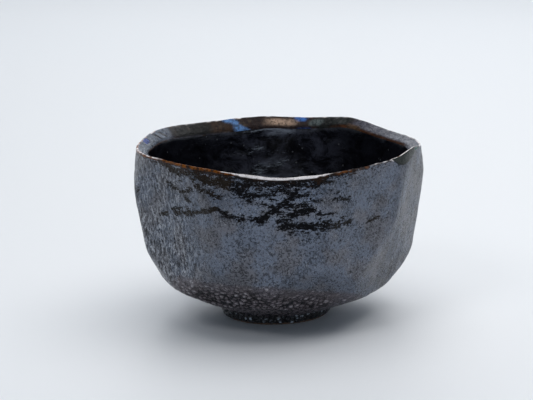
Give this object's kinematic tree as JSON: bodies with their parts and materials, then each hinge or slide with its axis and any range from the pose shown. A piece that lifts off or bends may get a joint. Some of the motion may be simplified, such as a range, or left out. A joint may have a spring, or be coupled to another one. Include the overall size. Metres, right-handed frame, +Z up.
{
  "type": "matcha bowl",
  "caption": "Hand-pinched, knife-pared stoneware tea bowl with an uneven bevelled lip, a luted foot ring and a dark glaze in four coats.",
  "frame": {"origin": "on the table plane that the foot ring stands on, under the middle of the bowl's overall width and depth", "axes": "+Z up out of the mouth; -Y is the front that faces the drinker, +X is that front's right-hand side"},
  "size_m": [0.123, 0.1232, 0.0755],
  "materials": {
    "stoneware": "matte",
    "foot_clay": "matte",
    "outer_glaze": "satin",
    "lip_glaze": "gloss",
    "inner_glaze": "gloss",
    "foot_glaze": "gloss"
  },
  "bodies": {
    "root": {"clay_body": "stoneware", "foot_ring": "foot_clay", "outer_glaze": "outer_glaze", "lip_glaze": "lip_glaze", "inner_glaze": "inner_glaze", "foot_glaze": "foot_glaze"}
  },
  "joints": []
}
